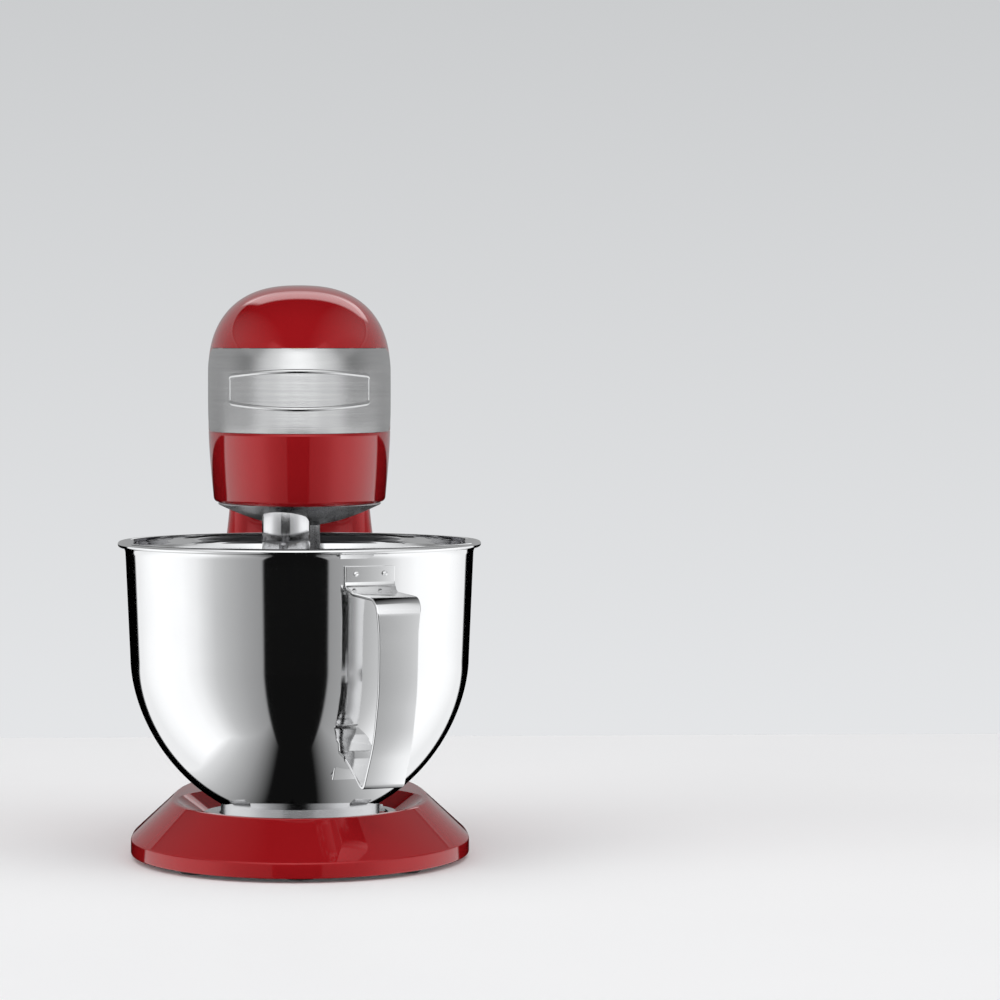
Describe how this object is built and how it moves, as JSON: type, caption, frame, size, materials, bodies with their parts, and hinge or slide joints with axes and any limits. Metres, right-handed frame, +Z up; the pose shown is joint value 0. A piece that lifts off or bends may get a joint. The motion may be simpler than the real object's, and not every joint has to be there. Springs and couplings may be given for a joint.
{
  "type": "stand mixer",
  "caption": "Tilt-head stand mixer with a planetary flat beater, a twist-lock bowl with a strap handle and a front attachment hub.",
  "frame": {"origin": "on the table, under the middle of the footprint", "axes": "+Z up, -Y towards the user and out of the attachment hub, +X towards the speed dial's side"},
  "size_m": [0.2284, 0.3607, 0.36],
  "materials": {
    "red_paint": "deep red gloss enamel",
    "polished_steel": "mirror-polished stainless steel",
    "brushed_steel": "brushed stainless steel",
    "cast_grey": "grey satin casting",
    "chrome": "bright chrome plate",
    "steel": "machined steel",
    "bronze": "sintered bronze",
    "copper": "enamelled copper",
    "black_plastic": "black moulded plastic",
    "dark_plastic": "dark gloss plastic",
    "black_rubber": "black rubber",
    "circuit": "green circuit board"
  },
  "bodies": {
    "base": {"base_shell": "red_paint", "base_plate": "black_plastic", "feet": "black_rubber", "base_screws": "steel", "bowl_seat": "brushed_steel", "seat_screws": "steel", "pedestal": "red_paint", "pedestal_bolts": "steel", "cord_gland": "black_rubber", "hinge_pin": "steel", "hinge_caps": "chrome", "lock_spring": "steel"},
    "lock_bolt": {"lock_bolt": "steel"},
    "lock_lever": {"lock_lever": "chrome"},
    "bowl": {"bowl": "polished_steel", "bowl_foot": "brushed_steel", "bowl_handle": "polished_steel"},
    "head": {"top_cover": "red_paint", "lower_housing": "red_paint", "housing_screws": "steel", "hub_socket": "cast_grey", "hinge_bushes": "bronze", "rear_vent": "black_plastic", "dial_bezel": "chrome", "speed_switch": "black_plastic", "gear_case": "cast_grey", "case_screws": "steel", "ring_gear": "steel", "main_bearings": "bronze", "hub_bearing": "bronze", "motor_stator": "steel", "motor_brackets": "cast_grey", "bracket_screws": "steel", "motor_brushes": "bronze", "drive_belt": "black_rubber", "control_board": "circuit"},
    "front_cover": {"front_band": "brushed_steel", "band_backing": "black_plastic"},
    "speed_dial": {"speed_dial": "dark_plastic"},
    "hub_shaft": {"hub_shaft": "steel"},
    "planetary": {"spindle": "steel", "bevel_gear": "steel", "planet_carrier": "cast_grey", "drive_sleeve": "chrome"},
    "tool": {"planet_gear": "steel", "tool_shaft": "steel", "flat_beater": "cast_grey"},
    "main_shaft": {"main_shaft": "steel", "spur_gear": "steel"},
    "countershaft": {"countershaft": "steel", "drive_pulley": "black_plastic"},
    "motor_rotor": {"motor_rotor": "steel", "motor_fan": "black_plastic", "motor_pulley": "steel"}
  },
  "joints": [
    {"name": "head_tilt", "type": "hinge", "parent": "base", "child": "head", "pos_m": [0, 0.1315, 0.205], "axis": [-1, 0, 0], "range_deg": [0, 45]},
    {"name": "lock_turn", "type": "hinge", "parent": "base", "child": "lock_lever", "pos_m": [0, 0.1185, 0.158], "axis": [1, 0, 0], "range_deg": [0, 40]},
    {"name": "lock_slide", "type": "slide", "parent": "base", "child": "lock_bolt", "axis": [0, 0, 1], "range_m": [0, 0.0089]},
    {"name": "bowl_twist", "type": "hinge", "parent": "base", "child": "bowl", "pos_m": [0, -0.0335, 0.028], "axis": [0, 0, 1], "range_deg": [0, 30]},
    {"name": "front_cover_slide", "type": "slide", "parent": "head", "child": "front_cover", "axis": [0, -1, 0], "range_m": [0, 0.08]},
    {"name": "speed_turn", "type": "hinge", "parent": "head", "child": "speed_dial", "pos_m": [0.0422, 0.1305, 0.292], "axis": [0.891, 0.454, 0], "range_deg": [0, 270]},
    {"name": "planetary_spin", "type": "hinge", "parent": "head", "child": "planetary", "pos_m": [0, -0.0335, 0.23], "axis": [0, 0, 1], "continuous": true},
    {"name": "tool_spin", "type": "hinge", "parent": "planetary", "child": "tool", "pos_m": [-0.00846, -0.06032, 0.2], "axis": [0, 0, 1], "continuous": true},
    {"name": "main_shaft_spin", "type": "hinge", "parent": "head", "child": "main_shaft", "pos_m": [0, 0.0205, 0.286], "axis": [0, 1, 0], "continuous": true},
    {"name": "hub_spin", "type": "hinge", "parent": "head", "child": "hub_shaft", "pos_m": [0, -0.0735, 0.286], "axis": [0, -1, 0], "continuous": true},
    {"name": "countershaft_spin", "type": "hinge", "parent": "head", "child": "countershaft", "pos_m": [0, 0.0205, 0.316], "axis": [0, 1, 0], "continuous": true},
    {"name": "motor_spin", "type": "hinge", "parent": "head", "child": "motor_rotor", "pos_m": [0, 0.1065, 0.268], "axis": [0, 1, 0], "continuous": true}
  ],
  "couplings": [
    {"joint": "tool_spin", "follows": "planetary_spin", "ratio": -2.6667},
    {"joint": "main_shaft_spin", "follows": "planetary_spin", "ratio": 2},
    {"joint": "hub_spin", "follows": "planetary_spin", "ratio": 2},
    {"joint": "countershaft_spin", "follows": "planetary_spin", "ratio": -8},
    {"joint": "motor_spin", "follows": "planetary_spin", "ratio": -32},
    {"joint": "lock_turn", "follows": "lock_slide", "rad_per_m": 78.442}
  ]
}
